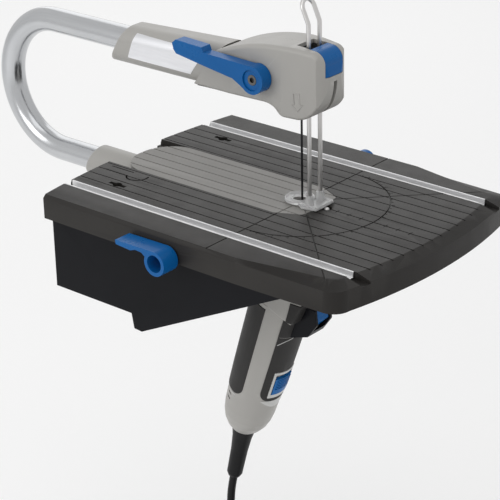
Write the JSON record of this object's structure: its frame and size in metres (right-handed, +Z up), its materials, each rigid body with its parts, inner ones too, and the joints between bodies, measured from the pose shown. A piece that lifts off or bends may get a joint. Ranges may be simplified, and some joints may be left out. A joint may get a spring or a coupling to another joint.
{
  "type": "bench scroll saw",
  "caption": "Compact bench scroll saw: a ruled table that hooks over a bench edge and a C-shaped saw with a leaning motor housing, tube arm, blade head and mains lead.",
  "frame": {"origin": "centre of the flat bench face under the back of the table", "axes": "+Z up, +Y from the blade to the back along the arm, +X to the right of a person in front"},
  "size_m": [0.23, 0.406, 0.5572],
  "materials": {
    "table_plastic": "fine-grained black plastic",
    "base_plastic": "satin black plastic",
    "rail_aluminium": "extruded, satin",
    "tube_aluminium": "drawn and lightly polished",
    "housing_grey": "warm light grey satin plastic",
    "insert_grey": "mid grey satin plastic",
    "seam_grey": "dark grey plastic",
    "blue_plastic": "bright blue satin plastic",
    "soft_grip": "dark soft overmould",
    "bezel_silver": "silver-painted plastic",
    "steel": "plain steel",
    "blade_steel": "dark tempered steel",
    "copper": "enamelled copper",
    "bronze": "sintered bronze",
    "carbon": "carbon",
    "nylon": "natural nylon",
    "clear_plastic": "clear polycarbonate",
    "label_foil": "blank silver foil",
    "pad_rubber": "black rubber",
    "lead_rubber": "black flexible lead"
  },
  "bodies": {
    "base": {"table_top": "table_plastic", "base_skirt": "base_plastic", "guide_rails": "rail_aluminium", "bench_pads": "pad_rubber", "base_screws": "steel", "index_pin": "steel"},
    "lock_left": {"lock_lever_left": "blue_plastic", "lock_shaft_left": "steel"},
    "lock_right": {"lock_lever_right": "blue_plastic", "lock_shaft_right": "steel"},
    "saw": {"insert_plate": "insert_grey", "housing_left": "housing_grey", "housing_right": "housing_grey", "front_grip": "soft_grip", "rear_grip": "soft_grip", "switch_bezel": "bezel_silver", "switch_module": "base_plastic", "release_bracket": "base_plastic", "armature_bearings": "steel", "stator_core": "steel", "field_coils": "copper", "brush_holders": "base_plastic", "carbon_brushes": "carbon", "gear_bush": "bronze", "plunger_guide": "base_plastic", "c_tube": "tube_aluminium", "arm_sleeve": "housing_grey", "lower_sleeve": "housing_grey", "label_plate": "label_foil", "head_left": "housing_grey", "head_right": "housing_grey", "seam_strip": "seam_grey", "case_screws": "steel", "strain_relief": "lead_rubber", "cord": "lead_rubber", "cord_coil": "lead_rubber", "cord_tail": "lead_rubber", "cord_tie": "lead_rubber", "plug": "lead_rubber"},
    "armature": {"armature_shaft": "steel", "armature_core": "steel", "commutator": "copper", "cooling_fan": "nylon", "pinion": "steel"},
    "gear": {"face_gear": "nylon"},
    "plunger": {"plunger_yoke": "steel", "lower_blade_clamp": "steel", "upper_blade_clamp": "steel", "blade_clamp_screws": "steel", "blade": "blade_steel"},
    "tension_lever": {"tension_lever": "blue_plastic", "tension_cam": "steel", "lever_screw": "steel"},
    "tension_seat": {"tension_seat": "nylon", "tension_spring": "steel"},
    "nose_button": {"nose_button": "blue_plastic"},
    "foot": {"guard_wire": "steel", "blade_foot": "clear_plastic"},
    "power_slide": {"power_slide": "blue_plastic"},
    "release_lever": {"release_lever": "blue_plastic"}
  },
  "joints": [
    {"name": "lock_left_turn", "type": "hinge", "parent": "base", "child": "lock_left", "pos_m": [0, -0.0805, 0.0575], "axis": [1, 0, 0], "range_deg": [-90, 0]},
    {"name": "lock_right_turn", "type": "hinge", "parent": "base", "child": "lock_right", "pos_m": [0, -0.0805, 0.0575], "axis": [1, 0, 0], "range_deg": [0, 90]},
    {"name": "saw_lift", "type": "slide", "parent": "base", "child": "saw", "axis": [0, 0, 1], "range_m": [0, 0.06]},
    {"name": "armature_spin", "type": "hinge", "parent": "saw", "child": "armature", "pos_m": [0, -0.106, 0.03], "axis": [0, 0.3173, -0.9483], "continuous": true},
    {"name": "gear_spin", "type": "hinge", "parent": "saw", "child": "gear", "pos_m": [0, -0.106, 0.03], "axis": [1, 0, 0], "continuous": true},
    {"name": "blade_stroke", "type": "slide", "parent": "saw", "child": "plunger", "axis": [0, 0, 1], "range_m": [0, 0.008]},
    {"name": "tension_lever_turn", "type": "hinge", "parent": "saw", "child": "tension_lever", "pos_m": [0, -0.092, 0.1615], "axis": [1, 0, 0], "range_deg": [0, 100]},
    {"name": "tension_seat_slide", "type": "slide", "parent": "saw", "child": "tension_seat", "axis": [0, 0, 1], "range_m": [-0.002, 0], "deforming": ["tension_spring"]},
    {"name": "nose_button_press", "type": "slide", "parent": "saw", "child": "nose_button", "axis": [0, 1, 0], "range_m": [0, 0.0025], "stiffness_N_per_m": 400},
    {"name": "foot_height", "type": "slide", "parent": "saw", "child": "foot", "axis": [0, 0, 1], "range_m": [0, 0.04]},
    {"name": "power_slide_move", "type": "slide", "parent": "saw", "child": "power_slide", "axis": [0, -0.3471, 0.9378], "range_m": [0, 0.0035]},
    {"name": "release_lever_press", "type": "hinge", "parent": "saw", "child": "release_lever", "pos_m": [0, -0.12304, -0.00417], "axis": [1, 0, 0], "range_deg": [0, 12], "stiffness_Nm_per_rad": 0.02}
  ],
  "couplings": [
    {"joint": "gear_spin", "follows": "armature_spin", "ratio": -0.25},
    {"joint": "tension_seat_slide", "follows": "tension_lever_turn", "m_per_rad": -0.0011459}
  ]
}
